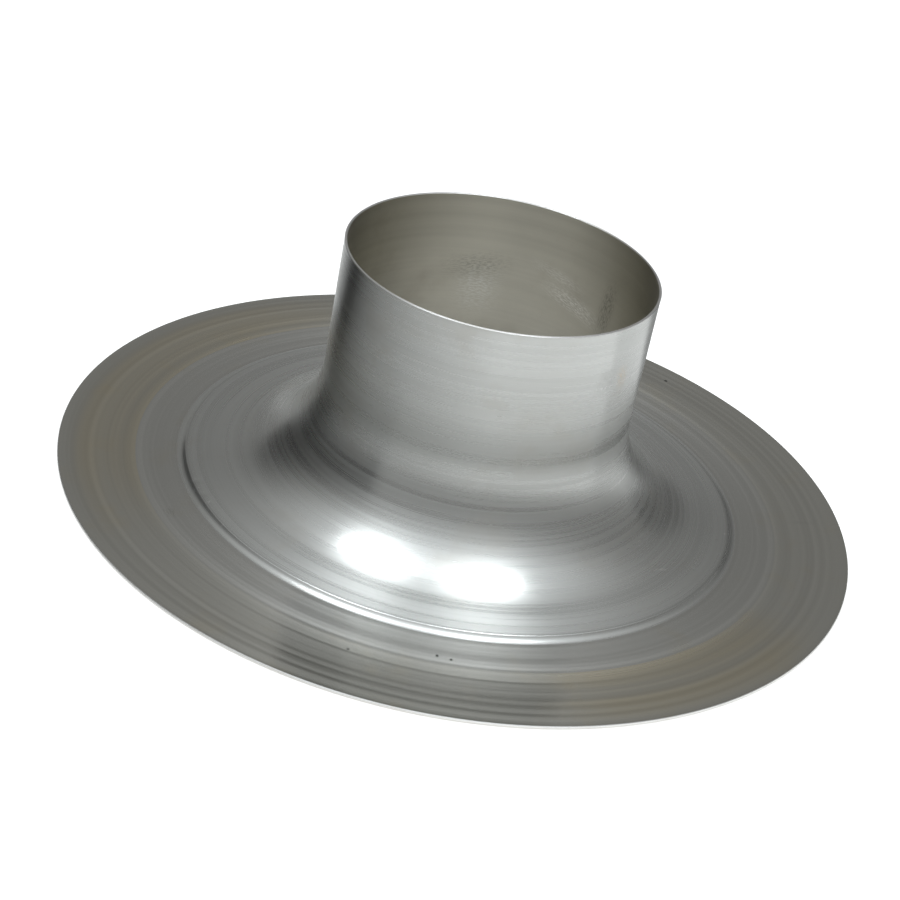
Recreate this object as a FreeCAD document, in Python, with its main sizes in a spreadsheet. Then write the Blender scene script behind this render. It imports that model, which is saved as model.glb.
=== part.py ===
"""Spun aluminium pipe flashing for a flat roof.

One piece of sheet, spun over a chuck: a flat round flange that is bonded to
the roof, a raised apron, a shallow dome with a stepped foot, a hollow neck
and a straight round collar that takes the vent pipe.

Frame: +Z is up along the spinning axis.  The origin is the centre of the
flange's underside, so the part stands on Z = 0.
"""
import FreeCAD, Part
import collections
import math
import os

import Sketcher

# ----------------------------------------------------------------------
# Driving dimensions, in millimetres and degrees
# ----------------------------------------------------------------------
SIZES = [
    ("sheet_thickness", 1.0, "sheet that the flashing is spun from"),
    ("flange_diameter", 350.0, "cut edge of the flange"),
    ("collar_bore", 132.0, "inside of the collar, for a 131 mm pipe"),
    ("overall_height", 108.0, "underside of the flange to the lip"),
    ("neck_foot_diameter", 208.0, "ring where the hollow neck turns into the dome"),
    ("neck_foot_height", 5.6, "height of that ring"),
    ("dome_radius", 300.0, "arc of the dome's section"),
    ("dome_width", 16.0, "from that ring out to the steepest ring of the foot's step"),
    ("foot_slope", 45.0, "slope of the step at its steepest ring"),
    ("foot_round", 3.0, "round from the dome down into the step"),
    ("foot_hollow", 4.0, "hollow from the step out to the apron"),
    ("apron_width", 22.0, "from the steepest ring out to the flat flange"),
    ("apron_slope", 1.5, "fall of the apron, outwards"),
]

doc = FreeCAD.newDocument("pipe_flashing")

sheet = doc.addObject("Spreadsheet::Sheet", "sizes")
for row, (name, value, meaning) in enumerate(SIZES, start=1):
    sheet.set("A%d" % row, name)
    sheet.set("B%d" % row, str(value))
    sheet.set("C%d" % row, meaning)
    sheet.setAlias("B%d" % row, name)
doc.recompute()

size = {name: float(sheet.get(name)) for name, value, meaning in SIZES}

# How a constraint names the ends and the centre of a sketch curve
START = 1
END = 2
CENTRE = 3

UPRIGHT = math.pi / 2

# One stretch of a skin: its sketch curve, and which ends lie first and last
# on the way from the lip down and out to the rim
Stretch = collections.namedtuple("Stretch", "curve first last")


# ----------------------------------------------------------------------
# Section of the sheet: where each stretch of the skin ends, and its slope
# ----------------------------------------------------------------------
def bend(radius, steep, shallow):
    """Return how far out and how far down an arc goes between two slopes."""
    out = radius * (math.sin(steep) - math.sin(shallow))
    down = radius * (math.cos(shallow) - math.cos(steep))
    return out, down


def section_rings():
    """Return (radius, height, slope) of each ring of the upper skin, top down.

    The sketch starts from these rings, and its constraints then hold them.
    """
    wall = size["sheet_thickness"]
    collar = size["collar_bore"] / 2 + wall
    neck_foot = size["neck_foot_diameter"] / 2
    neck_foot_height = size["neck_foot_height"]
    steepest = neck_foot + size["dome_width"]
    foot_slope = math.radians(size["foot_slope"])
    apron_edge = steepest + size["apron_width"]
    apron_slope = math.radians(size["apron_slope"])

    out, down = bend(size["foot_hollow"], foot_slope, apron_slope)
    apron_top = steepest + out
    apron_height = wall + (apron_edge - apron_top) * math.tan(apron_slope)
    foot_height = apron_height + down

    # The dome meets the round above the step at a slope that hangs on where
    # they meet, so both are found by going round a few times.
    dome_slope = foot_slope / 2
    for _ in range(20):
        out, down = bend(size["foot_round"], foot_slope, dome_slope)
        dome_edge = steepest - out
        dome_height = foot_height + down
        across = dome_edge - neck_foot
        drop = neck_foot_height - dome_height
        half_bend = math.asin(math.hypot(across, drop) / 2 / size["dome_radius"])
        dome_slope = math.atan2(drop, across) + half_bend

    neck_slope = dome_slope - 2 * half_bend
    neck_radius = (neck_foot - collar) / (1 - math.sin(neck_slope))
    neck_top = neck_foot_height + neck_radius * math.cos(neck_slope)
    return [
        (collar, size["overall_height"], UPRIGHT),
        (collar, neck_top, UPRIGHT),
        (neck_foot, neck_foot_height, neck_slope),
        (dome_edge, dome_height, dome_slope),
        (steepest, foot_height, foot_slope),
        (apron_top, apron_height, apron_slope),
        (apron_edge, wall, apron_slope / 2),
        (size["flange_diameter"] / 2, wall, 0.0),
    ]


def under(ring):
    """Return the ring of the lower skin that lies square under one of the upper."""
    radius, height, slope = ring
    wall = size["sheet_thickness"]
    return radius - wall * math.sin(slope), height - wall * math.cos(slope), slope


# ----------------------------------------------------------------------
# Sketch curves and constraints
# ----------------------------------------------------------------------
def add_line(sketch, first, last):
    """Add a straight stretch between two rings."""
    start = FreeCAD.Vector(first[0], first[1], 0)
    end = FreeCAD.Vector(last[0], last[1], 0)
    curve = sketch.addGeometry(Part.LineSegment(start, end))
    return Stretch(curve, START, END)


def add_arc(sketch, first, last):
    """Add an arc that leaves both rings along their slopes.

    It bulges if it grows steeper on its way out, and is hollow if it grows
    flatter.  Sketch arcs run anticlockwise, so a bulging one starts at its
    last ring.
    """
    turn = last[2] - first[2]
    side = math.copysign(1, turn)
    chord = math.hypot(last[0] - first[0], last[1] - first[1])
    radius = chord / 2 / math.sin(abs(turn) / 2)
    centre_x = first[0] - side * radius * math.sin(first[2])
    centre_y = first[1] - side * radius * math.cos(first[2])
    circle = Part.Circle(FreeCAD.Vector(centre_x, centre_y, 0), FreeCAD.Vector(0, 0, 1), radius)
    if turn > 0:
        arc = Part.ArcOfCircle(circle, UPRIGHT - last[2], UPRIGHT - first[2])
        return Stretch(sketch.addGeometry(arc), END, START)
    arc = Part.ArcOfCircle(circle, 3 * UPRIGHT - first[2], 3 * UPRIGHT - last[2])
    return Stretch(sketch.addGeometry(arc), START, END)


def hold(sketch, kind, *where):
    """Add a constraint that needs no size."""
    sketch.addConstraint(Sketcher.Constraint(kind, *where))


def join(sketch, kind, before, after):
    """Join the last end of one stretch to the first end of the next."""
    hold(sketch, kind, before.curve, before.last, after.curve, after.first)


def set_size(sketch, name, formula, kind, *where):
    """Add a named constraint and tie its value to the sheet of sizes."""
    index = sketch.addConstraint(Sketcher.Constraint(kind, *where))
    sketch.renameConstraint(index, name)
    sketch.setExpression("Constraints." + name, formula)


def set_place(sketch, name, formula, kind, curve, end, now):
    """Tie how far out (DistanceX) or up (DistanceY) an end lies to the sheet."""
    set_size(sketch, name, formula, kind, -1, START, curve, end, now)


def add_skin(sketch, rings):
    """Add one skin of the sheet and return its stretches by name."""
    lip, neck_top, neck_foot, dome_edge, foot, apron_top, apron_edge, rim = rings
    skin = {
        "collar": add_line(sketch, lip, neck_top),
        "neck": add_arc(sketch, neck_top, neck_foot),
        "dome": add_arc(sketch, neck_foot, dome_edge),
        "round": add_arc(sketch, dome_edge, foot),
        "hollow": add_arc(sketch, foot, apron_top),
        "apron": add_line(sketch, apron_top, apron_edge),
        "flange": add_line(sketch, apron_edge, rim),
    }
    names = list(skin)
    for before, after in zip(names, names[1:]):
        kind = "Coincident" if after == "flange" else "Tangent"
        join(sketch, kind, skin[before], skin[after])
    hold(sketch, "Vertical", skin["collar"].curve)
    hold(sketch, "Horizontal", skin["flange"].curve)
    return skin


# ----------------------------------------------------------------------
# The flashing
# ----------------------------------------------------------------------
def draw_section(sketch):
    """Draw the closed section of the sheet, from the lip out to the rim."""
    rings = section_rings()
    wall = size["sheet_thickness"]
    outside = rings[0][0]
    inside = outside - wall
    top = size["overall_height"]
    rim = size["flange_diameter"] / 2

    upper = add_skin(sketch, rings)
    lower = add_skin(sketch, [under(ring) for ring in rings])

    # The two skins stay one sheet apart: their arcs share centres
    for name in ("neck", "dome", "round", "hollow"):
        hold(sketch, "Coincident", upper[name].curve, CENTRE, lower[name].curve, CENTRE)
    hold(sketch, "Parallel", upper["apron"].curve, lower["apron"].curve)

    # The lip is cut off square
    lip = add_line(sketch, (inside, top), (outside, top))
    join(sketch, "Coincident", lip, upper["collar"])
    hold(sketch, "Coincident", lip.curve, lip.first, lower["collar"].curve, START)
    hold(sketch, "Horizontal", lip.curve)

    # The cut edge closes the section at the rim
    cut_edge = add_line(sketch, (rim, wall), (rim, 0.0))
    join(sketch, "Coincident", upper["flange"], cut_edge)
    hold(sketch, "Coincident", cut_edge.curve, END, lower["flange"].curve, lower["flange"].last)
    hold(sketch, "Vertical", cut_edge.curve)
    hold(sketch, "PointOnObject", cut_edge.curve, END, -1)

    bore = lower["collar"]
    neck_foot = upper["neck"]
    foot = upper["round"]
    apron = upper["apron"]
    far, high = "DistanceX", "DistanceY"
    foot_hollow_turn = math.radians(size["foot_slope"] - size["apron_slope"])
    apron_fall = math.radians(size["apron_slope"])
    set_place(sketch, "bore", "sizes.collar_bore / 2", far, bore.curve, START, inside)
    set_place(
        sketch, "outside", "sizes.collar_bore / 2 + sizes.sheet_thickness",
        far, upper["collar"].curve, START, outside,
    )
    set_place(sketch, "lip", "sizes.overall_height", high, lip.curve, START, top)
    set_place(
        sketch, "neck_foot", "sizes.neck_foot_diameter / 2",
        far, neck_foot.curve, neck_foot.last, rings[2][0],
    )
    set_place(
        sketch, "neck_foot_height", "sizes.neck_foot_height",
        high, neck_foot.curve, neck_foot.last, rings[2][1],
    )
    set_size(sketch, "dome_radius", "sizes.dome_radius", "Radius", upper["dome"].curve, size["dome_radius"])
    set_size(sketch, "foot_round", "sizes.foot_round", "Radius", foot.curve, size["foot_round"])
    set_size(
        sketch, "foot_hollow", "sizes.foot_hollow",
        "Radius", upper["hollow"].curve, size["foot_hollow"],
    )
    set_place(
        sketch, "foot", "sizes.neck_foot_diameter / 2 + sizes.dome_width",
        far, foot.curve, foot.last, rings[4][0],
    )
    set_size(
        sketch, "foot_turn", "(sizes.foot_slope - sizes.apron_slope) * 1 deg",
        "Angle", upper["hollow"].curve, foot_hollow_turn,
    )
    set_size(
        sketch, "apron_fall", "sizes.apron_slope * -1 deg",
        "Angle", apron.curve, -apron_fall,
    )
    set_place(
        sketch, "apron", "sizes.neck_foot_diameter / 2 + sizes.dome_width + sizes.apron_width",
        far, apron.curve, apron.last, rings[6][0],
    )
    set_place(sketch, "sheet", "sizes.sheet_thickness", high, cut_edge.curve, START, wall)
    set_place(sketch, "rim", "sizes.flange_diameter / 2", far, cut_edge.curve, START, rim)


flashing = doc.addObject("PartDesign::Body", "flashing")
flashing.Label = "flashing"
flashing.Placement = FreeCAD.Placement()

section = flashing.newObject("Sketcher::SketchObject", "sheet_section")
planes = {plane.Role: plane for plane in flashing.Origin.OriginFeatures}
section.AttachmentSupport = [(planes["XZ_Plane"], "")]
section.MapMode = "FlatFace"
draw_section(section)
doc.recompute()

spinning = flashing.newObject("PartDesign::Revolution", "spinning")
spinning.Profile = section
spinning.ReferenceAxis = (section, ["V_Axis"])
spinning.Angle = 360.0
flashing.Tip = spinning
doc.recompute()

# ----------------------------------------------------------------------
# Check the model, then write it
# ----------------------------------------------------------------------
for feature in doc.Objects:
    if {"Invalid", "Error"} & set(feature.State):
        raise RuntimeError("%s failed to build" % feature.Label)
if section.solve() != 0:
    raise RuntimeError("the section's constraints don't agree")
if flashing.Shape.isNull() or not flashing.Shape.isValid() or len(flashing.Shape.Solids) != 1:
    raise RuntimeError("the flashing isn't one sound solid")

os.makedirs("parts", exist_ok=True)
flashing.Shape.exportStep("parts/%s.step" % flashing.Label)
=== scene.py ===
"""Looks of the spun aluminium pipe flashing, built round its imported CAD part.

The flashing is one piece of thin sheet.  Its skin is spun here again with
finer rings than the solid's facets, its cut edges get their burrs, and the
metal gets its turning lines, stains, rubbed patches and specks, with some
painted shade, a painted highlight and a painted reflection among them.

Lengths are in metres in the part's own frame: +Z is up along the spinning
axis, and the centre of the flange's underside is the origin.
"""

import logging
import math
import random
from collections.abc import Iterator, Sequence
from dataclasses import dataclass, field
from enum import Enum

import bmesh
import bpy
from mathutils import Matrix, Vector

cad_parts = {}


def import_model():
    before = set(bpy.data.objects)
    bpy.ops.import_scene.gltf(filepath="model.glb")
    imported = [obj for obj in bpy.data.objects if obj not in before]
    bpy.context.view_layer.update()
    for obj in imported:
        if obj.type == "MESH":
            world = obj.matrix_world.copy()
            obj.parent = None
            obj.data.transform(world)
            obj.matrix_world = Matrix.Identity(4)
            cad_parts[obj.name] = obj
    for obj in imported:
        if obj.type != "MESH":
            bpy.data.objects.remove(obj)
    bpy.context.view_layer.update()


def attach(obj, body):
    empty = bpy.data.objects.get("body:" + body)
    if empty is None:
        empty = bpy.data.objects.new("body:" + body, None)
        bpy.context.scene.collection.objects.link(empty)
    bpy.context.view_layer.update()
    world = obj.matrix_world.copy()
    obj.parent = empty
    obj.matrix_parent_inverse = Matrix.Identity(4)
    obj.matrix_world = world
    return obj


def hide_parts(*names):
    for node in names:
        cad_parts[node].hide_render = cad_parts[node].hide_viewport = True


LOG = logging.getLogger("pipe_flashing")

MM = 0.001
FULL_TURN = 2 * math.pi
UPRIGHT = math.pi / 2

# A stretch of the section that turns less than this is drawn straight
STRAIGHT = math.radians(1.0)
# Edges that turn more than this stay crisp
CRISP_EDGE = math.radians(30)
# Slack when two lengths are compared
TOUCH = 0.01 * MM
# Rounds in which the dome's slope and its edge settle on each other
SETTLE_ROUNDS = 20

# Spacings of the rings that the turning tool left in the metal
FINE_RINGS = 0.5 * MM
BROAD_RINGS = 2.4 * MM
WIDE_RINGS = 9.0 * MM
# Turns the drawn-out glare so that it lies across the rings
ACROSS_THE_RINGS = 0.25
# Rough size of the strokes that make up a rubbed patch or a painted reflection, and the roughness they
# add
STROKE_LENGTH = 2.4 * MM
STROKE_WIDTH = 0.5 * MM
SCUFF_ROUGHNESS = 0.12
# Share of a mark's half span that stays at full strength
SCUFF_CORE = 0.1

Socket = bpy.types.NodeSocket
Colour = tuple[float, float, float]
Ring = tuple[float, float, float]

BRIGHT_METAL: Colour = (0.86, 0.86, 0.85)
SPECK_DARK: Colour = (0.05, 0.05, 0.045)
COOL_WHITE: Colour = (0.93, 0.97, 1.0)
WARM_WHITE: Colour = (1.0, 1.0, 0.98)


class Side(Enum):
    """Which surface of the sheet a strip of faces belongs to."""

    WEATHER = 0
    ROOM = 1
    CUT = 2
    FLANGE = 3
    APRON = 4


# ----------------------------------------------------------------------
# Node graphs
# ----------------------------------------------------------------------
class Graph:
    """A material's or a world's nodes, added one after the other."""

    def __init__(self, tree: bpy.types.NodeTree) -> None:
        """Start with an empty tree.

        Args:
            tree: the node tree to fill.
        """
        self.tree = tree
        tree.nodes.clear()

    def add(self, kind: str, **settings: object) -> bpy.types.Node:
        """Add a node.

        Args:
            kind: Blender's name of the node type.
            settings: properties to set on the node.

        Returns:
            The new node.
        """
        node = self.tree.nodes.new(kind)
        for name, value in settings.items():
            setattr(node, name, value)
        return node

    def feed(self, socket: Socket, value: object) -> None:
        """Link a socket into another, or set the other to a plain value.

        Args:
            socket: the input to feed.
            value: a socket to link, or a number or a colour to set.
        """
        if isinstance(value, bpy.types.NodeSocket):
            self.tree.links.new(value, socket)
        elif isinstance(value, (tuple, list)) and len(value) == 3 and socket.type == "RGBA":
            socket.default_value = (*value, 1.0)
        else:
            socket.default_value = value

    def math(self, operation: str, *values: object, clamp: bool = False) -> Socket:
        """Add a Math node.

        Args:
            operation: what the node works out.
            values: its inputs, sockets or numbers.
            clamp: whether the result is kept between 0 and 1.

        Returns:
            The result's socket.
        """
        node = self.add("ShaderNodeMath", operation=operation, use_clamp=clamp)
        for socket, value in zip(node.inputs, values):
            self.feed(socket, value)
        return node.outputs[0]

    def mix(self, share: object, first: object, second: object, blend: str = "MIX") -> Socket:
        """Mix two colours.

        Args:
            share: how much of the second colour, 0 to 1.
            first: the colour underneath.
            second: the colour on top.
            blend: Blender's blend type.

        Returns:
            The mixed colour's socket.
        """
        node = self.add("ShaderNodeMix", data_type="RGBA", blend_type=blend)
        # The colour sockets come after those for numbers and vectors
        self.feed(node.inputs[0], share)
        self.feed(node.inputs[6], first)
        self.feed(node.inputs[7], second)
        return node.outputs[2]

    def band(self, value: Socket, start: float, end: float, soft: float) -> Socket:
        """Mark where a value lies between two limits.

        Args:
            value: the value to judge.
            start: the lower limit.
            end: the upper limit.
            soft: how far a flank reaches to both sides of its limit.

        Returns:
            A socket with 1 between the limits and 0 outside them.
        """
        rise = self.ease(value, start - soft, start + soft)
        fall = self.ease(value, end - soft, end + soft)
        return self.math("SUBTRACT", rise, fall, clamp=True)

    def remap(self, kind: str, inputs: tuple[object, ...]) -> Socket:
        """Add a Map Range node, which holds its end values outside its limits.

        Args:
            kind: how the node runs from one end to the other.
            inputs: the value, its two limits and what they map to.

        Returns:
            The mapped value's socket.
        """
        node = self.add("ShaderNodeMapRange", interpolation_type=kind)
        for socket, number in zip(node.inputs, inputs):
            self.feed(socket, number)
        return node.outputs[0]

    def ease(
        self, value: object, start: float, end: float, low: float = 0.0, high: float = 1.0
    ) -> Socket:
        """Map a value smoothly from start..end to low..high."""
        return self.remap("SMOOTHSTEP", (value, start, end, low, high))

    def ramp(self, value: object, start: float, end: float, low: float, high: float) -> Socket:
        """Map a value evenly from start..end to low..high."""
        return self.remap("LINEAR", (value, start, end, low, high))

    def dim(self, value: Socket, mask: Socket, share: float) -> Socket:
        """Take a share off a value where a mask is set.

        Args:
            value: the value to dim.
            mask: 1 where the whole share is taken off, 0 where none is.
            share: the share.

        Returns:
            The dimmed value's socket.
        """
        kept = self.math("SUBTRACT", 1.0, self.math("MULTIPLY", mask, share))
        return self.math("MULTIPLY", value, kept)

    def compass(self, x: Socket, y: Socket) -> Socket:
        """Work out an angle round the upright axis.

        Args:
            x: the way along +X.
            y: the way along +Y.

        Returns:
            The angle's socket, 0 to 360 degrees, anticlockwise from +X.
        """
        turn = self.math("MULTIPLY", self.math("ARCTAN2", y, x), 180 / math.pi)
        return self.math("MODULO", self.math("ADD", turn, 360.0), 360.0)

    def noise(self, vector: Socket, scale: float, detail: float = 2.0, rough: float = 0.5) -> Socket:
        """Add a noise texture.

        Args:
            vector: where it is looked up.
            scale: how fine it is.
            detail: its octaves.
            rough: how strong the finer octaves are.

        Returns:
            The noise value's socket, about 0.5 on average.
        """
        node = self.add("ShaderNodeTexNoise", noise_dimensions="3D")
        self.feed(node.inputs["Vector"], vector)
        self.feed(node.inputs["Scale"], scale)
        self.feed(node.inputs["Detail"], detail)
        self.feed(node.inputs["Roughness"], rough)
        return node.outputs[0]

    def point(self, x: object, y: object, z: object) -> Socket:
        """Join three values into a vector.

        Args:
            x: the first value.
            y: the second value.
            z: the third value.

        Returns:
            The vector's socket.
        """
        node = self.add("ShaderNodeCombineXYZ")
        for socket, value in zip(node.inputs, (x, y, z)):
            self.feed(socket, value)
        return node.outputs[0]


@dataclass
class Turning:
    """Coordinates of a turned surface inside a graph, from the object's own space."""

    graph: Graph
    x: Socket = field(init=False)
    y: Socket = field(init=False)
    z: Socket = field(init=False)
    radius: Socket = field(init=False)
    angle: Socket = field(init=False)
    along: Socket = field(init=False)

    def __post_init__(self) -> None:
        """Work out radius, angle and the way along the section."""
        graph = self.graph
        place = graph.add("ShaderNodeTexCoord").outputs["Object"]
        parts = graph.add("ShaderNodeSeparateXYZ")
        graph.feed(parts.inputs[0], place)
        self.x, self.y, self.z = parts.outputs
        x_squared = graph.math("MULTIPLY", self.x, self.x)
        y_squared = graph.math("MULTIPLY", self.y, self.y)
        self.radius = graph.math("SQRT", graph.math("ADD", x_squared, y_squared))
        self.angle = graph.compass(self.x, self.y)
        # Out along the flange and up the collar, in one steadily growing value
        self.along = graph.math("SUBTRACT", self.radius, self.z)

    def rings(self, spacing: float, wander: float, detail: float = 2.0) -> Socket:
        """Return noise drawn out into rings round the axis.

        Args:
            spacing: rough distance between rings.
            wander: how fast a ring changes on its way round.
            detail: octaves of the noise.

        Returns:
            The noise value's socket.
        """
        graph = self.graph
        around_x = graph.math("DIVIDE", self.x, self.radius)
        around_y = graph.math("DIVIDE", self.y, self.radius)
        place = graph.point(
            graph.math("MULTIPLY", around_x, wander),
            graph.math("MULTIPLY", around_y, wander),
            graph.math("DIVIDE", self.along, spacing),
        )
        return graph.noise(place, 1.0, detail)

    def patch(
        self, angle: float, half_angle: float, radius: float, half_width: float, soft: float
    ) -> Socket:
        """Return 1 on a patch of the surface and 0 away from it.

        Args:
            angle: middle of the patch, in degrees.
            half_angle: half its span, in degrees.
            radius: middle of the patch, from the axis.
            half_width: half its width.
            soft: share of each half that fades.

        Returns:
            The patch's socket.
        """
        graph = self.graph
        fade_angle = half_angle * soft
        fade_width = half_width * soft
        span = graph.band(self.angle, angle - half_angle, angle + half_angle, fade_angle)
        width = graph.band(self.radius, radius - half_width, radius + half_width, fade_width)
        return graph.math("MULTIPLY", span, width)


# ----------------------------------------------------------------------
# Finishes, with angles in degrees anticlockwise from +X
# ----------------------------------------------------------------------
@dataclass(frozen=True)
class Stain:
    """A dull brownish bloom on the flange: its middle, half its spans and its strength."""

    angle: float
    half_angle: float
    radius: float
    half_width: float
    strength: float


@dataclass(frozen=True)
class Speck:
    """A small dark spot, by angle, distance from the axis, height and size."""

    angle: float
    radius: float
    height: float
    size: float


@dataclass(frozen=True)
class Line:
    """A paler or darker ring: a turning line, painted shade in a crease, or a painted highlight on a
    bend.
    """

    radius: float
    half_width: float
    gain: float


@dataclass(frozen=True)
class ScuffAndPaintedReflection:
    """A rubbed patch, a scratch or a painted dark reflection, drawn out and tilted against the turning
    lines.
    """

    angle: float
    radius: float
    height: float
    half_length: float
    half_width: float
    lean: float
    colour: Colour
    strength: float

    def mask(self, graph: Graph, turning: Turning) -> Socket:
        """Return how strongly the mark lies on the metal at each place.

        Args:
            graph: the material's graph.
            turning: the surface's coordinates.

        Returns:
            The mask's socket, broken up into fine strokes.
        """
        gap = graph.math("SUBTRACT", turning.angle, self.angle)
        gap = graph.math("WRAP", gap, 180.0, -180.0)
        across = graph.math("MULTIPLY", gap, math.radians(1.0) * self.radius)
        along = graph.math("SUBTRACT", turning.along, self.radius - self.height)
        lean = math.radians(self.lean)
        cosine = math.cos(lean)
        sine = math.sin(lean)
        run = graph.math("MULTIPLY_ADD", across, cosine, graph.math("MULTIPLY", along, sine))
        side = graph.math("MULTIPLY_ADD", across, -sine, graph.math("MULTIPLY", along, cosine))
        in_length = self.fade(graph, run, self.half_length)
        in_width = self.fade(graph, side, self.half_width)
        strokes = graph.point(
            graph.math("DIVIDE", run, STROKE_LENGTH),
            graph.math("DIVIDE", side, STROKE_WIDTH),
            self.angle,
        )
        broken = graph.ease(graph.noise(strokes, 1.0, 4.0, 0.65), 0.46, 0.58, 0.05, self.strength)
        return graph.math("MULTIPLY", graph.math("MULTIPLY", in_length, in_width), broken)

    def fade(self, graph: Graph, way: Socket, half: float) -> Socket:
        """Return 1 in the mark's core, fading to 0 at half its span."""
        return graph.ease(graph.math("ABSOLUTE", way), half * SCUFF_CORE, half, 1.0, 0.0)


@dataclass(frozen=True)
class SpunAluminium:
    """Bare spun sheet: rings of the turning tool, blooms, specks and rubbed patches, with some painted
    shade, highlight and reflection.
    """

    name: str
    colour: Colour
    bloom: Colour
    roughness: float
    grain: float
    dulling: float
    stretch: float = 0.85
    # Extra roughness up to the first radius, gone by the second
    rubbed: tuple[float, float, float] | None = None
    lines: tuple[Line, ...] = ()
    stains: tuple[Stain, ...] = ()
    specks: tuple[Speck, ...] = ()
    scuffs_and_painted_reflections: tuple[ScuffAndPaintedReflection, ...] = ()

    def build(self) -> bpy.types.Material:
        """Make the material.

        Returns:
            The material.
        """
        material = bpy.data.materials.new(self.name)
        material.use_nodes = True
        graph = Graph(material.node_tree)
        turning = Turning(graph)
        shader = graph.add("ShaderNodeBsdfPrincipled")
        output = graph.add("ShaderNodeOutputMaterial")
        graph.feed(output.inputs[0], shader.outputs[0])

        fine = turning.rings(FINE_RINGS, 0.45)
        broad = turning.rings(BROAD_RINGS, 0.3)
        bands = turning.rings(WIDE_RINGS, 0.35, detail=3.0)
        cloud = graph.noise(graph.point(turning.x, turning.y, turning.z), 38.0, 4.0, 0.62)
        bloom = self.blooms(graph, turning, bands, cloud)
        # Rubbed patches, and on the room side a painted dark reflection, mixed into the colour
        wear_and_painted_reflection = [(mark.colour, mark.mask(graph, turning)) for mark in self.scuffs_and_painted_reflections]

        colour = graph.mix(bloom, self.colour, self.bloom)
        colour = self.ring_tones(graph, turning, colour, broad, bands)
        for mark_colour, mask in wear_and_painted_reflection:
            colour = graph.mix(mask, colour, mark_colour)
        colour = self.speckled(graph, turning, colour, cloud)
        graph.feed(shader.inputs["Base Color"], colour)

        uneven = graph.ease(broad, 0.3, 0.7, -0.03, 0.03)
        rough = graph.math("MULTIPLY_ADD", bloom, self.dulling, uneven)
        for _, mask in wear_and_painted_reflection:
            rough = graph.math("MULTIPLY_ADD", mask, SCUFF_ROUGHNESS, rough)
        if self.rubbed:
            extra, start, end = self.rubbed
            rough = graph.math("ADD", rough, graph.ease(turning.radius, start, end, extra, 0.0))
        graph.feed(shader.inputs["Roughness"], graph.math("ADD", rough, self.roughness))
        graph.feed(shader.inputs["Normal"], self.relief_of(graph, fine, broad, bands))
        tangent = graph.add("ShaderNodeTangent", direction_type="RADIAL", axis="Z")
        graph.feed(shader.inputs["Tangent"], tangent.outputs[0])
        shader.inputs["Metallic"].default_value = 1.0
        shader.inputs["Anisotropic"].default_value = self.stretch
        shader.inputs["Anisotropic Rotation"].default_value = ACROSS_THE_RINGS
        return material

    def blooms(self, graph: Graph, turning: Turning, bands: Socket, cloud: Socket) -> Socket:
        """Work out how strongly the metal is stained at each place.

        Args:
            graph: the material's graph.
            turning: the surface's coordinates.
            bands: noise of the widest rings.
            cloud: noise without rings.

        Returns:
            The stain's socket, 0 to 1.
        """
        total: object = graph.ease(cloud, 0.52, 0.74, 0.0, 0.35)
        for stain in self.stains:
            patch = turning.patch(stain.angle, stain.half_angle, stain.radius, stain.half_width, 0.35)
            streaks = graph.ease(bands, 0.3, 0.62, 0.35, stain.strength)
            total = graph.math("ADD", total, graph.math("MULTIPLY", patch, streaks), clamp=True)
        return total

    def ring_tones(
        self, graph: Graph, turning: Turning, colour: Socket, broad: Socket, bands: Socket
    ) -> Socket:
        """Return the colour, a little uneven from ring to ring.

        Args:
            graph: the material's graph.
            turning: the surface's coordinates.
            colour: the metal's colour with its blooms.
            broad: noise of the broad rings.
            bands: noise of the widest rings.

        Returns:
            The toned colour's socket.
        """
        tone = graph.math(
            "ADD",
            graph.ease(broad, 0.25, 0.75, 0.955, 1.035),
            graph.ease(bands, 0.25, 0.75, -0.04, 0.03),
        )
        # The listed rings are turning lines, painted shade in a crease or a painted highlight on a bend
        for line in self.lines:
            inner = line.radius - line.half_width
            outer = line.radius + line.half_width
            shine = graph.band(turning.radius, inner, outer, line.half_width * 0.8)
            tone = graph.math("MULTIPLY_ADD", shine, line.gain, tone)
        return graph.mix(1.0, colour, graph.point(tone, tone, tone), "MULTIPLY")

    def speckled(self, graph: Graph, turning: Turning, colour: Socket, cloud: Socket) -> Socket:
        """Put the dark specks on the metal's colour.

        Args:
            graph: the material's graph.
            turning: the surface's coordinates.
            colour: the colour without them.
            cloud: noise that makes their outlines uneven.

        Returns:
            The colour's socket.
        """
        place = graph.point(turning.x, turning.y, turning.z)
        for speck in self.specks:
            turn = math.radians(speck.angle)
            centre = (speck.radius * math.cos(turn), speck.radius * math.sin(turn), speck.height)
            gap = graph.add("ShaderNodeVectorMath", operation="DISTANCE")
            graph.feed(gap.inputs[0], place)
            graph.feed(gap.inputs[1], centre)
            wobble = graph.math("MULTIPLY_ADD", cloud, speck.size * 0.8, gap.outputs[1])
            spot = graph.ease(wobble, speck.size * 0.9, speck.size * 1.5, 0.85, 0.0)
            colour = graph.mix(spot, colour, SPECK_DARK)
        return colour

    def relief_of(self, graph: Graph, fine: Socket, broad: Socket, bands: Socket) -> Socket:
        """Tilt the surface by the tool's rings.

        Args:
            graph: the material's graph.
            fine: noise of the fine rings.
            broad: noise of the broad rings.
            bands: noise of the widest rings.

        Returns:
            The normal's socket.
        """
        height = graph.math("MULTIPLY_ADD", fine, 0.5, broad)
        height = graph.math("MULTIPLY_ADD", bands, 1.4, height)
        bump = graph.add("ShaderNodeBump")
        graph.feed(bump.inputs["Strength"], 1.0)
        graph.feed(bump.inputs["Distance"], self.grain)
        graph.feed(bump.inputs["Height"], height)
        return bump.outputs[0]


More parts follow.
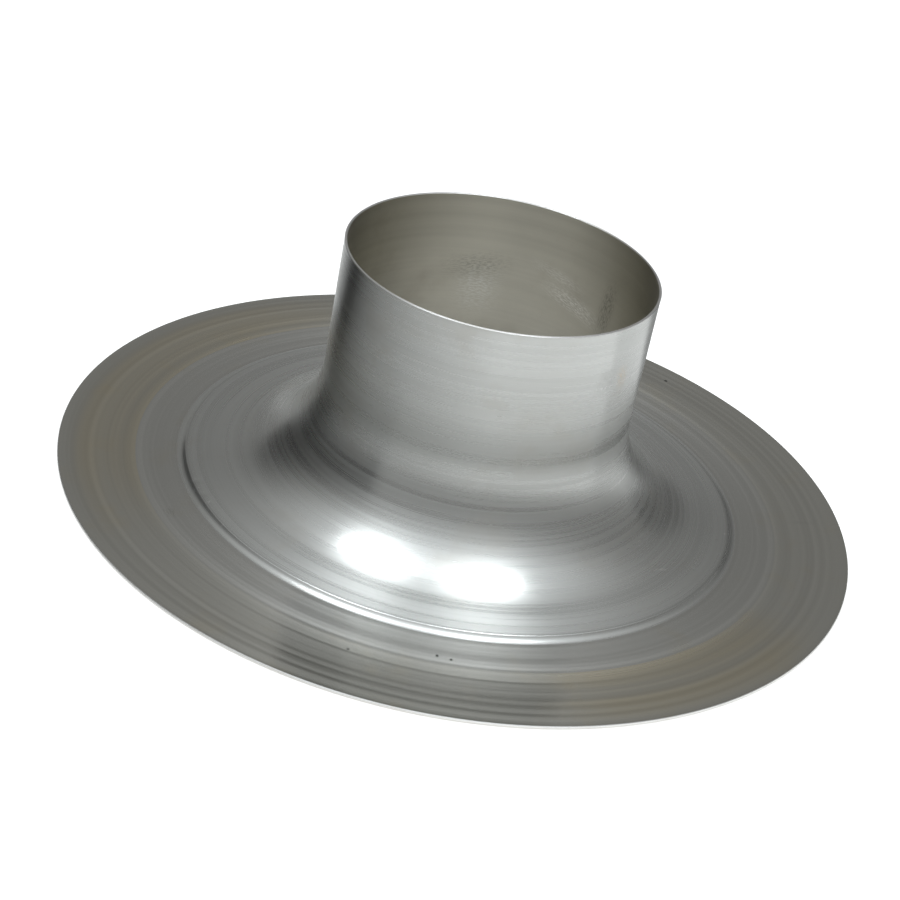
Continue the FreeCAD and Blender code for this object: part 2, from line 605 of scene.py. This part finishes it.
# ----------------------------------------------------------------------
# Section of the sheet
# ----------------------------------------------------------------------
@dataclass
class SheetSection:
    """Section of the flashing, from the lip down and out to the rim."""

    wall: float = 1.0 * MM
    flange_radius: float = 175.0 * MM
    collar_radius: float = 67.0 * MM
    height: float = 108.0 * MM
    neck_foot: float = 104.0 * MM
    neck_foot_height: float = 5.6 * MM
    # Below zero, as the dome is slightly hollow
    dome_arc: float = -450.0 * MM
    dome_width: float = 17.0 * MM
    foot_slope: float = math.radians(49.0)
    foot_round: float = 0.8 * MM
    foot_hollow: float = 4.5 * MM
    apron_width: float = 21.0 * MM
    apron_slope: float = math.radians(1.5)
    # Room that the burrs keep inside the part's own box
    edge_room: float = 0.15 * MM

    def bend(self, arc: float, steep: float, shallow: float) -> tuple[float, float]:
        """Work out how far an arc goes between two slopes.

        Args:
            arc: its radius.
            steep: the steeper slope.
            shallow: the other slope.

        Returns:
            How far it goes out and how far down.
        """
        out = arc * (math.sin(steep) - math.sin(shallow))
        down = arc * (math.cos(shallow) - math.cos(steep))
        return out, down

    def rings(self) -> list[Ring]:
        """Work out the rings between the stretches of the weather side.

        Returns:
            Radius, height and slope of each ring, from the lip out to the rim.
        """
        steepest = self.neck_foot + self.dome_width
        apron_edge = steepest + self.apron_width
        out, down = self.bend(self.foot_hollow, self.foot_slope, self.apron_slope)
        apron_top = steepest + out
        apron_height = self.wall + (apron_edge - apron_top) * math.tan(self.apron_slope)
        foot_height = apron_height + down
        dome_slope = self.foot_slope / 2
        for _ in range(SETTLE_ROUNDS):
            out, down = self.bend(self.foot_round, self.foot_slope, dome_slope)
            dome_edge = steepest - out
            dome_height = foot_height + down
            across = dome_edge - self.neck_foot
            drop = self.neck_foot_height - dome_height
            half_bend = math.asin(math.hypot(across, drop) / 2 / self.dome_arc)
            dome_slope = math.atan2(drop, across) + half_bend
        neck_slope = dome_slope - 2 * half_bend
        neck_arc = (self.neck_foot - self.collar_radius) / (1 - math.sin(neck_slope))
        neck_top = self.neck_foot_height + neck_arc * math.cos(neck_slope)
        return [
            (self.collar_radius, self.height - self.edge_room, UPRIGHT),
            (self.collar_radius, neck_top, UPRIGHT),
            (self.neck_foot, self.neck_foot_height, neck_slope),
            (dome_edge, dome_height, dome_slope),
            (steepest, foot_height, self.foot_slope),
            (apron_top, apron_height, self.apron_slope),
            (apron_edge, self.wall, self.apron_slope / 2),
            (self.flange_radius - self.edge_room, self.wall, 0.0),
        ]

    def under(self, ring: Ring) -> Ring:
        """Return the ring square under one of the weather side's rings."""
        radius, height, slope = ring
        return radius - self.wall * math.sin(slope), height - self.wall * math.cos(slope), slope

    def stretch(self, first: Ring, last: Ring, steps: int) -> list[tuple[float, float]]:
        """Draw one stretch as a straight line or an arc.

        Args:
            first: the ring that it starts from.
            last: the ring that it ends on.
            steps: how many points it gets.

        Returns:
            Its points after the first ring, up to and with the last.
        """
        turn = last[2] - first[2]
        shares = [step / steps for step in range(1, steps + 1)]
        if abs(turn) < STRAIGHT:
            return [
                (first[0] + (last[0] - first[0]) * share, first[1] + (last[1] - first[1]) * share)
                for share in shares
            ]
        side = math.copysign(1, turn)
        arc = math.hypot(last[0] - first[0], last[1] - first[1]) / 2 / math.sin(abs(turn) / 2)
        centre = (
            first[0] - side * arc * math.sin(first[2]),
            first[1] - side * arc * math.cos(first[2]),
        )
        slopes = [first[2] + turn * share for share in shares]
        return [
            (centre[0] + side * arc * math.sin(slope), centre[1] + side * arc * math.cos(slope))
            for slope in slopes
        ]

    def skin(self, rings: Sequence[Ring], steps: Sequence[int]) -> list[tuple[float, float]]:
        """Draw one side of the sheet.

        Args:
            rings: the rings between its stretches.
            steps: how many points each stretch gets.

        Returns:
            Its points from the lip out to the rim.
        """
        points = [rings[0][:2]]
        for first, last, count in zip(rings, rings[1:], steps):
            points += self.stretch(first, last, count)
        return points


# ----------------------------------------------------------------------
# The flashing's skin
# ----------------------------------------------------------------------
@dataclass(frozen=True)
class Nick:
    """A small knock in the sheet, by angle, distance from the axis, size and depth."""

    angle: float
    radius: float
    size: float
    depth: float


@dataclass
class FlashingSkin:
    """The whole sheet as one closed spun mesh."""

    section: SheetSection
    columns: int = 512
    weather_steps: tuple[int, ...] = (26, 38, 10, 5, 6, 8, 14)
    room_steps: tuple[int, ...] = (8, 18, 3, 3, 4, 2, 3)
    corner: float = 0.2 * MM
    # The parting tool pushed the last of the collar a little outwards
    flare: float = 0.1 * MM
    flare_depth: float = 1.8 * MM
    flare_steps: int = 4
    nicks: tuple[Nick, ...] = (
        Nick(205.0, 120.0 * MM, 1.3 * MM, 0.16 * MM),
        Nick(210.0, 119.6 * MM, 1.0 * MM, 0.12 * MM),
    )

    def outline(self) -> list[tuple[float, float, Side]]:
        """Draw the closed section.

        Returns:
            Its points, each with the side that it leads on to.
        """
        section = self.section
        rings = section.rings()
        upper = section.skin(rings, self.weather_steps)
        lower = section.skin([section.under(ring) for ring in rings], self.room_steps)
        corner = self.corner
        outside, top = upper[0]
        inside = outside - section.wall
        rim, rim_top = upper[-1]
        *_, (apron_top, _, _), (apron_edge, _, _), _ = rings
        points = []
        for step in range(self.flare_steps, -1, -1):
            share = step / self.flare_steps
            height = top - corner - self.flare_depth * (1 - share)
            points.append((outside + self.flare * share * share, height, Side.WEATHER))
        for radius, height in upper[1:-1]:
            side = Side.WEATHER
            if radius > apron_edge - TOUCH:
                side = Side.FLANGE
            elif radius > apron_top - TOUCH:
                side = Side.APRON
            points.append((radius, height, side))
        points += [(rim - corner, rim_top, Side.CUT), (rim, rim_top - corner, Side.CUT)]
        points += [(rim, corner, Side.CUT), (rim - corner, 0.0, Side.ROOM)]
        points += [(radius, height, Side.ROOM) for radius, height in reversed(lower[1:-1])]
        points += [(inside, top - corner, Side.CUT), (inside + corner, top, Side.CUT)]
        points += [(outside + self.flare - corner, top, Side.CUT)]
        return points

    def dent(self, turn: float, radius: float) -> float:
        """Return how deep the nicks in the dome's foot are at a point of the skin.

        Args:
            turn: angle of the point round the axis, in radians.
            radius: distance of the point from the axis.

        Returns:
            The depth, to be taken off the point's height.
        """
        depth = 0.0
        for nick in self.nicks:
            across = (turn - math.radians(nick.angle)) * radius / nick.size
            along = (radius - nick.radius) / nick.size
            depth += nick.depth * math.exp(-(across * across + along * along))
        return depth

    def build(self) -> bpy.types.Object:
        """Spin the section into a mesh.

        Returns:
            The skin's object, without materials.
        """
        outline = self.outline()
        count = len(outline)
        points = []
        for column in range(self.columns):
            turn = FULL_TURN * column / self.columns
            cosine = math.cos(turn)
            sine = math.sin(turn)
            for radius, height, _ in outline:
                low = self.dent(turn, radius)
                points.append((radius * cosine, radius * sine, max(0.0, height - low)))
        faces = []
        slots = []
        for column in range(self.columns):
            here = column * count
            there = (column + 1) % self.columns * count
            for index in range(count):
                after = (index + 1) % count
                faces.append((here + index, here + after, there + after, there + index))
                slots.append(outline[index][2].value)
        mesh = bpy.data.meshes.new("flashing_skin")
        mesh.from_pydata(points, [], faces)
        mesh.polygons.foreach_set("material_index", slots)
        mesh.polygons.foreach_set("use_smooth", [True] * len(faces))
        mesh.update()
        shell = bpy.data.objects.new("flashing_skin", mesh)
        bpy.context.collection.objects.link(shell)
        self.turn_outwards(mesh)
        mesh.set_sharp_from_angle(angle=CRISP_EDGE)
        return shell

    def turn_outwards(self, mesh: bpy.types.Mesh) -> None:
        """Make every face look out of the metal.

        Args:
            mesh: the closed mesh to set right.
        """
        work = bmesh.new()
        work.from_mesh(mesh)
        bmesh.ops.recalc_face_normals(work, faces=work.faces)
        work.to_mesh(mesh)
        work.free()


@dataclass
class EdgeBurrs:
    """Ragged slivers left by the shears on the rim and by the parting tool on the lip."""

    section: SheetSection
    seed: int = 7
    # Where the burrs are, from one angle to another in degrees, and how many
    rim_spans: tuple[tuple[float, float, int], ...] = (
        (216.0, 238.0, 34),
        (238.0, 300.0, 18),
        (300.0, 322.0, 26),
    )
    lip_spans: tuple[tuple[float, float, int], ...] = ((52.0, 96.0, 22),)
    half_thick: float = 0.12 * MM
    # How far a burr's foot is let into the rim, and how high up the rim it stands
    rim_sunk: float = 0.05 * MM
    rim_height: float = 0.3 * MM
    # A burr on the lip is this much longer than the room above it, as its foot is let in
    lip_rise: float = 0.1 * MM

    def places(
        self, chance: random.Random, spans: tuple[tuple[float, float, int], ...]
    ) -> Iterator[tuple[Vector, Vector]]:
        """Pick the burrs' places on an edge, one after the other.

        Args:
            chance: the source of random numbers.
            spans: the edge's spans.

        Yields:
            The unit vectors outwards and along the edge.
        """
        for start, end, number in spans:
            for _ in range(number):
                turn = math.radians(chance.uniform(start, end))
                away = Vector((math.cos(turn), math.sin(turn), 0))
                yield away, Vector((-away.y, away.x, 0))

    def sliver(
        self, work: bmesh.types.BMesh, foot: Vector, out: Vector, side: Vector, size: float
    ) -> None:
        """Add one pointed chip that stands on the cut edge.

        Args:
            work: the mesh being built.
            foot: middle of the chip's foot.
            out: which way its tip points, with its length.
            side: unit vector along the edge.
            size: half the width of the foot.
        """
        thick = Vector((0, 0, self.half_thick))
        # The foot is narrower above than below, and not even
        corners = [
            foot - side * size - thick,
            foot + side * size - thick,
            foot + side * size * 0.4 + thick,
            foot - side * size * 0.7 + thick,
        ]
        base = [work.verts.new(corner) for corner in corners]
        tip = work.verts.new(foot + out)
        work.faces.new(base)
        for first, second in zip(base, base[1:] + base[:1]):
            work.faces.new((second, first, tip))

    def build(self) -> bpy.types.Object:
        """Make the burrs of the rim, then those of the lip.

        Returns:
            All the burrs as one object.
        """
        chance = random.Random(self.seed)
        work = bmesh.new()
        section = self.section
        rim = section.flange_radius - section.edge_room
        lip = section.height - section.edge_room
        for away, side in self.places(chance, self.rim_spans):
            foot = away * (rim - self.rim_sunk) + Vector((0, 0, self.rim_height))
            out = away * section.edge_room + side * chance.uniform(-0.3, 0.3) * MM
            self.sliver(work, foot, out, side, chance.uniform(0.15, 0.75) * MM)
        middle = section.collar_radius - section.wall / 2
        for away, side in self.places(chance, self.lip_spans):
            foot = away * middle + Vector((0, 0, lip - self.half_thick))
            rise = Vector((0, 0, section.edge_room + self.lip_rise))
            out = rise + side * chance.uniform(-0.2, 0.2) * MM
            self.sliver(work, foot, out, side, chance.uniform(0.15, 0.5) * MM)
        bmesh.ops.recalc_face_normals(work, faces=work.faces)
        mesh = bpy.data.meshes.new("edge_burrs")
        work.to_mesh(mesh)
        work.free()
        burrs = bpy.data.objects.new("edge_burrs", mesh)
        bpy.context.collection.objects.link(burrs)
        return burrs


@dataclass
class Flashing:
    """The flashing with its finishes on."""

    section: SheetSection = field(default_factory=SheetSection)

    def weather_finish(self) -> SpunAluminium:
        """Return the metal of the collar, the neck and the dome."""
        return SpunAluminium(
            name="spun_sheet_dome_and_collar",
            colour=(0.60, 0.61, 0.595),
            bloom=(0.55, 0.535, 0.49),
            roughness=0.28,
            grain=0.0022 * MM,
            dulling=0.06,
            # Painted shade: a darker ring on the steep step at the dome's foot, in its crease
            lines=(Line(120.3 * MM, 0.35 * MM, -0.16),),
            scuffs_and_painted_reflections=(
                ScuffAndPaintedReflection(327.0, 67.0 * MM, 84.0 * MM, 8.0 * MM, 4.5 * MM, 70.0, (0.74, 0.64, 0.52), 0.7),
                ScuffAndPaintedReflection(318.0, 67.0 * MM, 85.0 * MM, 9.0 * MM, 7.0 * MM, 100.0, (0.46, 0.46, 0.45), 0.45),
                ScuffAndPaintedReflection(331.0, 103.0 * MM, 5.7 * MM, 4.5 * MM, 1.2 * MM, 25.0, BRIGHT_METAL, 0.9),
                ScuffAndPaintedReflection(5.0, 86.0 * MM, 12.2 * MM, 2.2 * MM, 0.4 * MM, 55.0, (0.16, 0.15, 0.14), 0.9),
                ScuffAndPaintedReflection(357.0, 118.6 * MM, 3.3 * MM, 1.1 * MM, 0.8 * MM, 20.0, BRIGHT_METAL, 1.0),
                ScuffAndPaintedReflection(207.5, 120.5 * MM, 2.5 * MM, 2.4 * MM, 1.2 * MM, 70.0, BRIGHT_METAL, 0.8),
                ScuffAndPaintedReflection(213.0, 119.0 * MM, 3.2 * MM, 2.0 * MM, 1.0 * MM, 60.0, BRIGHT_METAL, 0.8),
                ScuffAndPaintedReflection(221.0, 120.5 * MM, 2.4 * MM, 1.6 * MM, 0.8 * MM, 75.0, BRIGHT_METAL, 0.8),
            ),
        )

    def flange_finish(self) -> SpunAluminium:
        """Return the metal of the flange, smoother and with brown stains."""
        return SpunAluminium(
            name="spun_sheet_flange",
            colour=(0.565, 0.56, 0.52),
            bloom=(0.58, 0.535, 0.425),
            roughness=0.16,
            grain=0.0006 * MM,
            dulling=0.02,
            rubbed=(0.08, 141.0 * MM, 161.0 * MM),
            lines=(
                # Painted highlight: this paler ring lies on the bend where the apron meets the flange
                Line(142.2 * MM, 1.0 * MM, 0.09),
                Line(147.0 * MM, 0.7 * MM, -0.04),
                Line(160.5 * MM, 0.9 * MM, 0.05),
            ),
            stains=(
                Stain(165.0, 44.0, 153.0 * MM, 15.0 * MM, 0.85),
                Stain(312.0, 21.0, 155.0 * MM, 16.0 * MM, 0.95),
            ),
            specks=(
                Speck(55.7, 162.8 * MM, 1.0 * MM, 1.0 * MM),
                Speck(258.5, 147.4 * MM, 1.0 * MM, 0.7 * MM),
            ),
            scuffs_and_painted_reflections=(
                ScuffAndPaintedReflection(8.0, 157.0 * MM, 1.0 * MM, 9.0 * MM, 2.0 * MM, 80.0, (0.44, 0.44, 0.42), 0.5),
            ),
        )

    def apron_finish(self) -> SpunAluminium:
        """Return the metal of the apron."""
        return SpunAluminium(
            name="spun_sheet_apron",
            colour=(0.565, 0.565, 0.54),
            bloom=(0.54, 0.51, 0.43),
            roughness=0.24,
            grain=0.0010 * MM,
            dulling=0.02,
            lines=(
                # Painted highlight: this paler ring lies on the bend where the apron meets the flange
                Line(140.5 * MM, 1.3 * MM, 0.09),
                Line(134.5 * MM, 0.5 * MM, 0.04),
            ),
            specks=(
                Speck(271.9, 137.3 * MM, 1.2 * MM, 0.8 * MM),
                Speck(274.2, 138.3 * MM, 1.1 * MM, 0.7 * MM),
            ),
            scuffs_and_painted_reflections=(
                ScuffAndPaintedReflection(213.5, 136.0 * MM, 1.2 * MM, 5.0 * MM, 3.0 * MM, 0.0, (0.36, 0.36, 0.34), 0.5),
            ),
        )

    def room_finish(self) -> SpunAluminium:
        """Return the metal of the room side, dull and browner."""
        return SpunAluminium(
            name="spun_sheet_inside",
            colour=(0.57, 0.555, 0.49),
            bloom=(0.47, 0.44, 0.375),
            roughness=0.42,
            grain=0.004 * MM,
            dulling=0.10,
            scuffs_and_painted_reflections=(
                ScuffAndPaintedReflection(98.0, 66.0 * MM, 64.0 * MM, 14.0 * MM, 18.0 * MM, 0.0, (0.82, 0.82, 0.78), 0.75),
                ScuffAndPaintedReflection(100.0, 66.0 * MM, 74.0 * MM, 22.0 * MM, 8.0 * MM, 10.0, (0.27, 0.26, 0.22), 0.55),
                ScuffAndPaintedReflection(58.0, 66.0 * MM, 68.0 * MM, 22.0 * MM, 6.0 * MM, -14.0, (0.92, 0.91, 0.86), 0.9),
                ScuffAndPaintedReflection(66.0, 66.0 * MM, 78.0 * MM, 18.0 * MM, 4.0 * MM, -12.0, (0.84, 0.83, 0.78), 0.7),
                # Painted reflection: a dark upright band down the inside of the collar
                ScuffAndPaintedReflection(42.0, 66.0 * MM, 74.0 * MM, 18.0 * MM, 6.0 * MM, 85.0, (0.22, 0.21, 0.18), 0.75),
            ),
        )

    def cut_finish(self) -> SpunAluminium:
        """Return the metal of the cut edges and the burrs."""
        return SpunAluminium(
            name="cut_edge",
            colour=(0.88, 0.88, 0.87),
            bloom=(0.76, 0.75, 0.72),
            roughness=0.34,
            grain=0.003 * MM,
            dulling=0.05,
        )

    def build(self) -> list[bpy.types.Object]:
        """Build the skin and its burrs and dress them.

        Returns:
            The pieces.
        """
        finishes = {
            Side.WEATHER: self.weather_finish(),
            Side.ROOM: self.room_finish(),
            Side.CUT: self.cut_finish(),
            Side.FLANGE: self.flange_finish(),
            Side.APRON: self.apron_finish(),
        }
        materials = [finishes[side].build() for side in Side]
        skin = FlashingSkin(self.section).build()
        for material in materials:
            skin.data.materials.append(material)
        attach(skin, "root")
        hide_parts("flashing")
        burrs = EdgeBurrs(self.section).build()
        burrs.data.materials.append(materials[Side.CUT.value])
        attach(burrs, "root")
        return [skin, burrs]


# ----------------------------------------------------------------------
# Studio
# ----------------------------------------------------------------------
@dataclass(frozen=True)
class Softbox:
    """A round soft lamp that hangs over the flashing and looks at it."""

    name: str
    azimuth: float
    elevation: float
    distance: float
    width: float
    power: float

    def build(self) -> None:
        """Add the lamp."""
        lamp = bpy.data.lights.new(self.name, "AREA")
        lamp.shape = "DISK"
        lamp.size = self.width
        lamp.energy = self.power
        lamp.color = COOL_WHITE
        holder = bpy.data.objects.new(self.name, lamp)
        bpy.context.collection.objects.link(holder)
        turn = math.radians(self.azimuth)
        rise = math.radians(self.elevation)
        level = math.cos(rise)
        away = Vector((math.cos(turn) * level, math.sin(turn) * level, math.sin(rise)))
        holder.location = away * self.distance
        holder.rotation_euler = away.to_track_quat("Z", "Y").to_euler()


@dataclass(frozen=True)
class Sector:
    """A span of directions round the flashing, in degrees, with soft flanks."""

    start: float
    end: float
    soft: float

    def mask(self, graph: Graph, azimuth: Socket) -> Socket:
        """Return 1 inside the sector and 0 outside it."""
        return graph.band(azimuth, self.start, self.end, self.soft)


@dataclass(frozen=True)
class Viewpoint:
    """The camera: in front of the flashing and above it, and rolled a little."""

    lens: float = 84.836
    sensor_width: float = 36.0
    place: tuple[float, float, float] = (-0.00637, -0.80915, 0.47109)
    right: tuple[float, float, float] = (0.97988989, 0.09816674, 0.17372129)
    ahead: tuple[float, float, float] = (0.0, 0.87061341, -0.49196778)

    def build(self) -> None:
        """Add the camera and look through it."""
        camera = bpy.data.cameras.new("camera")
        camera.lens = self.lens
        camera.sensor_width = self.sensor_width
        holder = bpy.data.objects.new("camera", camera)
        bpy.context.collection.objects.link(holder)
        right = Vector(self.right)
        ahead = Vector(self.ahead)
        pose = Matrix((right, right.cross(ahead), -ahead)).transposed().to_4x4()
        pose.translation = Vector(self.place)
        holder.matrix_world = pose
        bpy.context.scene.camera = holder


@dataclass
class Studio:
    """Floor, room, lamps and camera."""

    lamps: tuple[Softbox, ...] = (
        Softbox("softbox_left", 156.0, 73.5, 1.3, 0.38, 3.0),
        Softbox("softbox_right", 36.0, 78.0, 1.3, 0.38, 3.0),
        Softbox("softbox_middle", 100.0, 82.0, 1.3, 0.70, 1.4),
    )
    viewpoint: Viewpoint = Viewpoint()
    floor_half: float = 20.0
    floor_drop: float = 0.4 * MM
    floor_white: Colour = (0.86, 0.86, 0.85)
    # How brightly the floor shows to the camera and in the metal
    floor_seen: float = 0.55
    floor_mirrored: float = 0.62
    floor_wedge: Sector = Sector(40.0, 113.0, 4.0)
    left_corner: Sector = Sector(129.0, 215.0, 1.0)
    right_corner: Sector = Sector(42.0, 70.0, 1.5)
    window: Sector = Sector(84.0, 96.0, 5.0)

    def build(self) -> None:
        """Set up everything round the flashing."""
        self.lay_floor()
        self.light_room()
        for lamp in self.lamps:
            lamp.build()
        self.viewpoint.build()
        bpy.context.scene.view_settings.view_transform = "Standard"

    def lay_floor(self) -> None:
        """Lay a wide white floor just under the flange."""
        half = self.floor_half
        low = -self.floor_drop
        mesh = bpy.data.meshes.new("floor")
        corners = [(-half, -half, low), (half, -half, low), (half, half, low), (-half, half, low)]
        mesh.from_pydata(corners, [], [(0, 1, 2, 3)])
        floor = bpy.data.objects.new("floor", mesh)
        bpy.context.collection.objects.link(floor)
        mesh.materials.append(self.floor_material())

    def floor_in_metal(self, graph: Graph) -> Socket:
        """Work out how bright the floor is where the metal mirrors it.

        Args:
            graph: the floor's graph.

        Returns:
            The brightness's socket: high in front, low on the left and in a wedge behind.
        """
        turning = Turning(graph)
        sweep = graph.ramp(turning.angle, 162.0, 280.0, 0.03, 0.90)
        back = graph.ramp(turning.angle, 115.0, 152.0, 0.72, 0.03)
        under = graph.ease(turning.radius, 0.14, 0.17, 0.72, 0.0)
        brightest = graph.math("MAXIMUM", graph.math("MAXIMUM", sweep, back), under)
        return graph.dim(brightest, self.floor_wedge.mask(graph, turning.angle), 0.65)

    def floor_material(self) -> bpy.types.Material:
        """Make the floor's material, white to the camera and shaded in the metal.

        Returns:
            The material.
        """
        material = bpy.data.materials.new("white_floor")
        material.use_nodes = True
        graph = Graph(material.node_tree)
        shade = graph.math("SUBTRACT", 1.0, self.floor_in_metal(graph))
        rays = graph.add("ShaderNodeLightPath")
        mirrored = rays.outputs["Is Glossy Ray"]
        level = graph.math("SUBTRACT", 1.0, graph.math("MULTIPLY", mirrored, shade))
        tone = graph.mix(1.0, self.floor_white, graph.point(level, level, level), "MULTIPLY")
        board = graph.add("ShaderNodeBsdfDiffuse")
        graph.feed(board.inputs[0], tone)
        seen = graph.math("MULTIPLY", rays.outputs["Is Camera Ray"], self.floor_seen)
        glow = graph.add("ShaderNodeEmission")
        graph.feed(glow.inputs[0], tone)
        graph.feed(glow.inputs[1], graph.math("MULTIPLY_ADD", mirrored, self.floor_mirrored, seen))
        both = graph.add("ShaderNodeAddShader")
        graph.feed(both.inputs[0], board.outputs[0])
        graph.feed(both.inputs[1], glow.outputs[0])
        output = graph.add("ShaderNodeOutputMaterial")
        graph.feed(output.inputs[0], both.outputs[0])
        return material

    def light_room(self) -> None:
        """Give the room a pale ceiling, grey walls, two darker corners and a window."""
        world = bpy.data.worlds.new("room")
        bpy.context.scene.world = world
        world.use_nodes = True
        graph = Graph(world.node_tree)
        way = graph.add("ShaderNodeTexCoord").outputs["Generated"]
        parts = graph.add("ShaderNodeSeparateXYZ")
        graph.feed(parts.inputs[0], way)
        x, y, z = parts.outputs
        rise = graph.math("MULTIPLY", graph.math("ARCSINE", z), 180 / math.pi)
        azimuth = graph.compass(x, y)

        # The walls are mid grey, and the room grows paler to the ceiling
        wall = graph.ease(rise, 31.0, 88.0, 0.25, 1.45)
        window_rise = graph.ease(rise, 34.0, 42.0, 0.0, 0.22)
        window = graph.math("MULTIPLY", self.window.mask(graph, azimuth), window_rise)
        left_rise = graph.ease(rise, 20.0, 42.0, 1.0, 0.0)
        left_low = graph.math("MULTIPLY", self.left_corner.mask(graph, azimuth), left_rise)
        right_rise = graph.band(rise, -5.0, 25.0, 3.0)
        right_low = graph.math("MULTIPLY", self.right_corner.mask(graph, azimuth), right_rise)
        glow = graph.math("ADD", wall, window)
        glow = graph.dim(glow, left_low, 0.82)
        glow = graph.dim(glow, right_low, 0.5)
        background = graph.add("ShaderNodeBackground")
        cool = graph.mix(graph.ease(rise, 30.0, 75.0), WARM_WHITE, COOL_WHITE)
        graph.feed(background.inputs[0], cool)
        graph.feed(background.inputs[1], glow)
        output = graph.add("ShaderNodeOutputWorld")
        graph.feed(output.inputs[0], background.outputs[0])


def main() -> None:
    """Build the flashing and its studio, and log each piece's face count."""
    logging.basicConfig(level=logging.INFO, format="%(name)s: %(message)s")
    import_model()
    for piece in Flashing().build():
        LOG.info("%s: %d faces", piece.name, len(piece.data.polygons))
    Studio().build()


if __name__ == "__main__":
    main()
